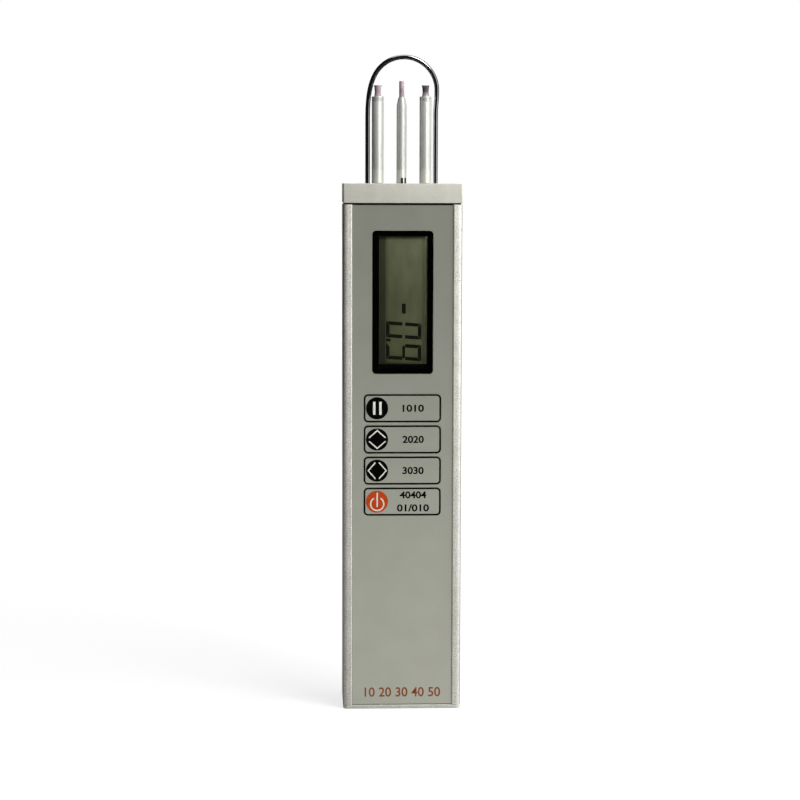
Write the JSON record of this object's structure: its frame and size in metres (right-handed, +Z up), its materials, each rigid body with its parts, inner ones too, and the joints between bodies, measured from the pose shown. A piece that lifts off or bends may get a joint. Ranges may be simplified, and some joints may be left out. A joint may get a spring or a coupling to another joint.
{
  "type": "digital tension meter",
  "caption": "Hand-held digital tension meter: a slim aluminium case with a display and film keys, and a sensing stem between two guide posts under a wire guard.",
  "frame": {"origin": "middle of the bottom plate's lower face, which is the bottom centre of the whole part's box", "axes": "+Z runs up the case to the yarn guides, -Y is the side with the display and keys, and +X is to the right of someone who faces the display"},
  "size_m": [0.035, 0.023, 0.1942],
  "materials": {
    "blasted_aluminium": "satin",
    "panel_aluminium": "satin",
    "turned_aluminium": "satin",
    "printed_film": "satin",
    "black_print": "satin",
    "orange_print": "satin",
    "display_window": "gloss",
    "display_glass": "gloss",
    "chrome_wire": "polished",
    "pink_ceramic": "satin",
    "dark_ceramic": "satin",
    "steel": "satin",
    "black_steel": "satin",
    "board_laminate": "satin",
    "black_plastic": "matte",
    "white_plastic": "matte",
    "black_rubber": "matte",
    "gauge_foil": "satin",
    "battery_jacket": "satin",
    "lead_jacket": "satin"
  },
  "bodies": {
    "case": {"case_extrusion": "blasted_aluminium", "head_plate": "blasted_aluminium", "bottom_plate": "blasted_aluminium", "head_seal": "black_rubber", "head_screw_front_left": "steel", "head_screw_front_right": "steel", "head_screw_back_left": "steel", "head_screw_back_right": "steel", "base_screw_front_left": "steel", "base_screw_front_right": "steel", "base_screw_back_left": "steel", "base_screw_back_right": "steel", "front_panel": "panel_aluminium", "panel_film": "printed_film", "display_window": "display_window", "display_glass": "display_glass", "display_frame": "white_plastic", "contact_strip_left": "black_rubber", "contact_strip_right": "black_rubber", "key_1_switch": "black_plastic", "key_2_switch": "black_plastic", "key_3_switch": "black_plastic", "key_4_switch": "black_plastic", "circuit_board": "board_laminate", "board_screw_left": "steel", "board_screw_right": "steel", "control_chip": "black_plastic", "converter_chip": "black_plastic", "battery": "battery_jacket", "battery_snap": "black_plastic", "battery_lead": "lead_jacket", "left_post": "turned_aluminium", "left_post_nut": "steel", "left_guide_tip": "pink_ceramic", "right_post": "turned_aluminium", "right_post_nut": "steel", "right_guide_tip": "dark_ceramic", "guard_wire": "chrome_wire", "sensor_bracket": "panel_aluminium", "load_beam": "panel_aluminium", "strain_gauge_front": "gauge_foil", "strain_gauge_back": "gauge_foil", "beam_screw_lower": "black_steel", "beam_screw_upper": "black_steel", "bracket_screw_left": "black_steel", "bracket_screw_right": "black_steel", "sensor_lead": "lead_jacket"},
    "key_1": {"key_1_pad": "printed_film", "key_1_plunger": "black_plastic"},
    "key_2": {"key_2_pad": "printed_film", "key_2_plunger": "black_plastic"},
    "key_3": {"key_3_pad": "printed_film", "key_3_plunger": "black_plastic"},
    "key_4": {"key_4_pad": "printed_film", "key_4_plunger": "black_plastic"},
    "stem": {"sensing_stem": "turned_aluminium", "sensing_pin": "pink_ceramic", "stem_holder": "turned_aluminium", "holder_screw": "black_steel", "stem_grub_screw": "black_steel"}
  },
  "joints": [
    {"name": "key_1_press", "type": "slide", "parent": "case", "child": "key_1", "axis": [0, 1, 0], "range_m": [0, 0.0003], "stiffness_N_per_m": 4000},
    {"name": "key_2_press", "type": "slide", "parent": "case", "child": "key_2", "axis": [0, 1, 0], "range_m": [0, 0.0003], "stiffness_N_per_m": 4000},
    {"name": "key_3_press", "type": "slide", "parent": "case", "child": "key_3", "axis": [0, 1, 0], "range_m": [0, 0.0003], "stiffness_N_per_m": 4000},
    {"name": "key_4_press", "type": "slide", "parent": "case", "child": "key_4", "axis": [0, 1, 0], "range_m": [0, 0.0003], "stiffness_N_per_m": 4000},
    {"name": "stem_bend", "type": "hinge", "parent": "case", "child": "stem", "pos_m": [0, 0.00492, 0.1174], "axis": [1, 0, 0], "range_deg": [-0.4, 0.4], "stiffness_Nm_per_rad": 10, "deforming": ["load_beam"]}
  ]
}
